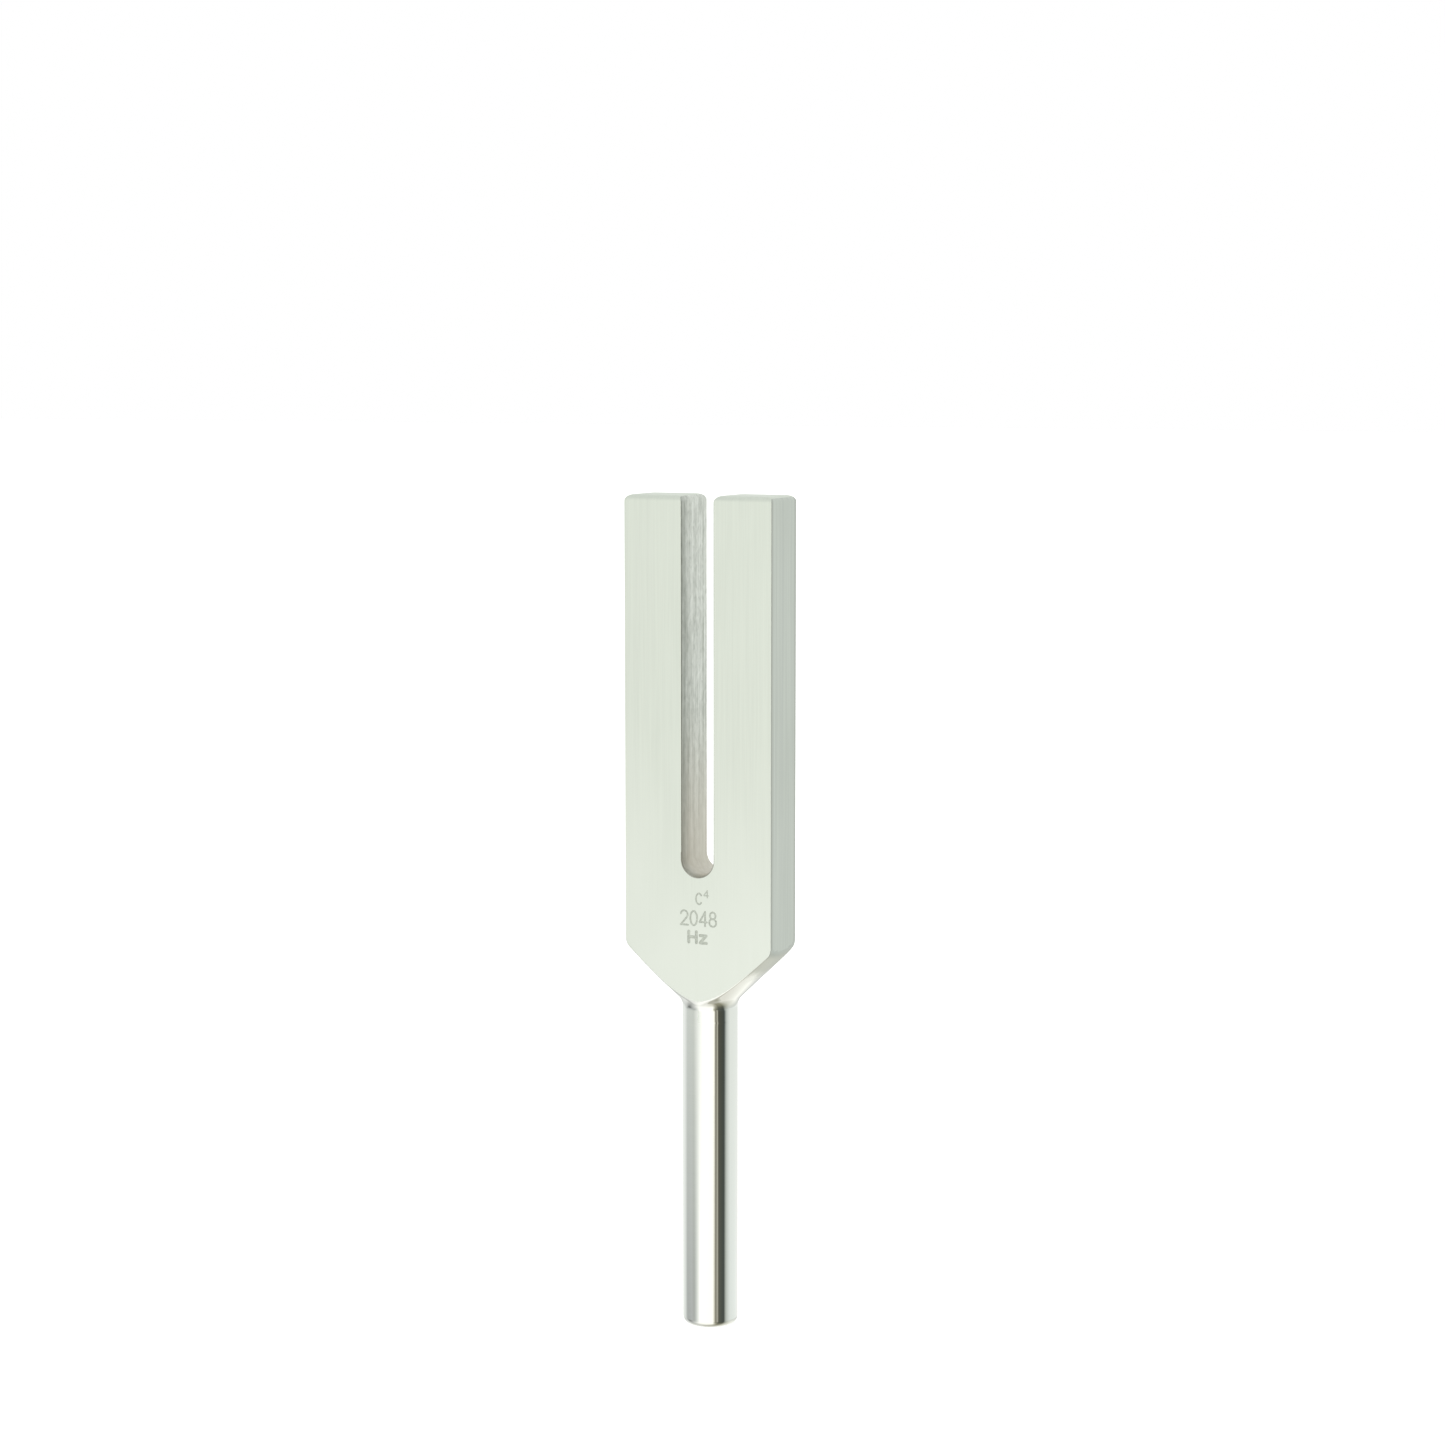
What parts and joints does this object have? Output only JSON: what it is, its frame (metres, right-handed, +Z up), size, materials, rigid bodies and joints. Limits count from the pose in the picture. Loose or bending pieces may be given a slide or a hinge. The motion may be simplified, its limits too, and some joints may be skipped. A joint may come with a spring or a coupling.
{
  "type": "tuning fork",
  "caption": "Two-tined tuning fork machined from flat aluminium bar, with a cone-shaped shoulder and a round polished stem; its tines spring in opposite directions.",
  "frame": {"origin": "centre of the flat end of the stem, the foot that is pressed against a surface", "axes": "+Z runs up the stem to the tips of the tines, +X runs from the left tine to the right tine, -Y is the marked front face"},
  "size_m": [0.024, 0.0088, 0.1254],
  "materials": {
    "satin_aluminium": "satin, brushed along the length, faint milling lines in the slot",
    "polished_aluminium": "turned and polished"
  },
  "bodies": {
    "root": {"stem": "polished_aluminium", "yoke": "satin_aluminium"},
    "left_tine": {"left_tine": "satin_aluminium"},
    "right_tine": {"right_tine": "satin_aluminium"}
  },
  "joints": [
    {"name": "left_tine_flex", "type": "hinge", "parent": "root", "child": "left_tine", "pos_m": [-0.00728, 0, 0.07165], "axis": [0, 1, 0], "range_deg": [-0.2, 0.2], "stiffness_Nm_per_rad": 1},
    {"name": "right_tine_flex", "type": "hinge", "parent": "root", "child": "right_tine", "pos_m": [0.00728, 0, 0.07165], "axis": [0, 1, 0], "range_deg": [-0.2, 0.2], "stiffness_Nm_per_rad": 1}
  ],
  "couplings": [
    {"joint": "right_tine_flex", "follows": "left_tine_flex", "ratio": -1}
  ]
}
